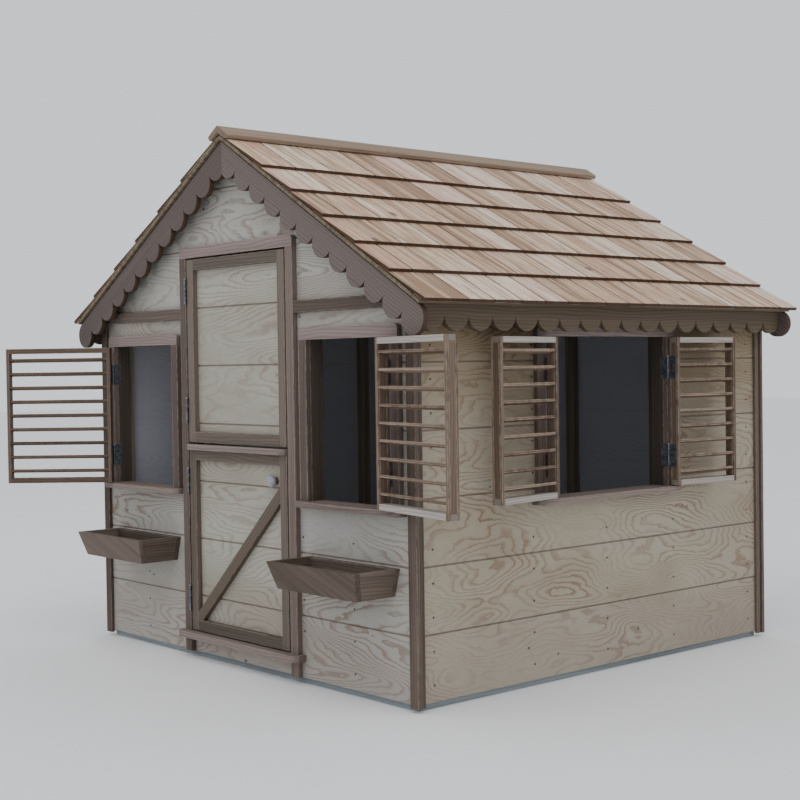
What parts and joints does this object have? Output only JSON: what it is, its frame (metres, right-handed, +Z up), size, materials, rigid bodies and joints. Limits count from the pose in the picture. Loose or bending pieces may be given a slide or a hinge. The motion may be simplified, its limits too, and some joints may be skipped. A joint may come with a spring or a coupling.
{
  "type": "children's playhouse",
  "caption": "Child's cedar garden playhouse with a half-and-half door, louvred shutters, flower boxes and a shingled roof.",
  "frame": {"origin": "on the ground below the middle of the floor", "axes": "+X to the right along the front wall as seen from outside, +Y from the front wall to the back wall, +Z up"},
  "size_m": [2.2705, 2.126, 1.8405],
  "materials": {
    "siding_plywood": "bare weathered rotary-cut plywood, matt",
    "stained_cedar": "brown-stained cedar, matt",
    "cedar_shingle": "bare sawn cedar, matt",
    "framing_softwood": "bare planed softwood, matt",
    "knob_wood": "pale painted turned wood, satin",
    "zinc_hinge": "dull zinc plate",
    "dark_nail": "darkened steel"
  },
  "bodies": {
    "house": {"floor_frame": "framing_softwood", "floor_deck": "framing_softwood", "front_wall_frame": "framing_softwood", "back_wall_frame": "framing_softwood", "left_wall_frame": "framing_softwood", "right_wall_frame": "framing_softwood", "front_siding": "siding_plywood", "threshold_apron": "siding_plywood", "front_gable_siding": "siding_plywood", "back_gable_siding": "siding_plywood", "back_siding": "siding_plywood", "left_siding": "siding_plywood", "right_siding": "siding_plywood", "corner_trims": "stained_cedar", "belly_bands": "stained_cedar", "door_casing": "stained_cedar", "door_threshold": "stained_cedar", "door_jambs": "stained_cedar", "door_stops": "stained_cedar", "window_jambs": "stained_cedar", "window_casings": "stained_cedar", "window_sills": "stained_cedar", "ridge_board": "framing_softwood", "rafters": "framing_softwood", "roof_deck_right": "framing_softwood", "roof_deck_left": "framing_softwood", "front_bargeboards": "stained_cedar", "rear_bargeboards": "stained_cedar", "eave_fascias": "stained_cedar", "starter_strips": "cedar_shingle", "shingles_right": "cedar_shingle", "shingles_left": "cedar_shingle", "ridge_cap": "stained_cedar", "flower_box_left": "stained_cedar", "flower_box_right": "stained_cedar", "door_hinge_jamb_leaves": "zinc_hinge", "shutter_hinge_jamb_leaves": "zinc_hinge", "hinge_pins": "zinc_hinge", "siding_nails": "dark_nail"},
    "upper_door": {"upper_door_panel": "siding_plywood", "upper_door_frame": "stained_cedar", "upper_door_hinge_leaves": "zinc_hinge"},
    "lower_door": {"lower_door_panel": "siding_plywood", "lower_door_frame": "stained_cedar", "lower_door_brace": "stained_cedar", "lower_door_shelf": "stained_cedar", "lower_door_knob": "knob_wood", "lower_door_hinge_leaves": "zinc_hinge"},
    "shutter_front_left": {"shutter_front_left_frame": "stained_cedar", "shutter_front_left_slats": "stained_cedar", "shutter_front_left_hinge_leaves": "zinc_hinge"},
    "shutter_front_right": {"shutter_front_right_frame": "stained_cedar", "shutter_front_right_slats": "stained_cedar", "shutter_front_right_hinge_leaves": "zinc_hinge"},
    "shutter_side_front": {"shutter_side_front_frame": "stained_cedar", "shutter_side_front_slats": "stained_cedar", "shutter_side_front_hinge_leaves": "zinc_hinge"},
    "shutter_side_rear": {"shutter_side_rear_frame": "stained_cedar", "shutter_side_rear_slats": "stained_cedar", "shutter_side_rear_hinge_leaves": "zinc_hinge"}
  },
  "joints": [
    {"name": "upper_door_hinge", "type": "hinge", "parent": "house", "child": "upper_door", "pos_m": [-0.291, -0.879, 1.088], "axis": [0, 0, -1], "range_deg": [0, 110]},
    {"name": "lower_door_hinge", "type": "hinge", "parent": "house", "child": "lower_door", "pos_m": [-0.291, -0.879, 0.4205], "axis": [0, 0, -1], "range_deg": [0, 110]},
    {"name": "shutter_front_left_hinge", "type": "hinge", "parent": "house", "child": "shutter_front_left", "pos_m": [-0.8025, -0.879, 0.85522], "axis": [0, 0, -1], "range_deg": [-134, 43]},
    {"name": "shutter_front_right_hinge", "type": "hinge", "parent": "house", "child": "shutter_front_right", "pos_m": [0.8025, -0.879, 0.85522], "axis": [0, 0, 1], "range_deg": [-169, 8]},
    {"name": "shutter_side_front_hinge", "type": "hinge", "parent": "house", "child": "shutter_side_front", "pos_m": [0.913, -0.303, 0.85522], "axis": [0, 0, -1], "range_deg": [-172.5, 4.5]},
    {"name": "shutter_side_rear_hinge", "type": "hinge", "parent": "house", "child": "shutter_side_rear", "pos_m": [0.913, 0.303, 0.85522], "axis": [0, 0, 1], "range_deg": [-175.5, 1.5]}
  ]
}
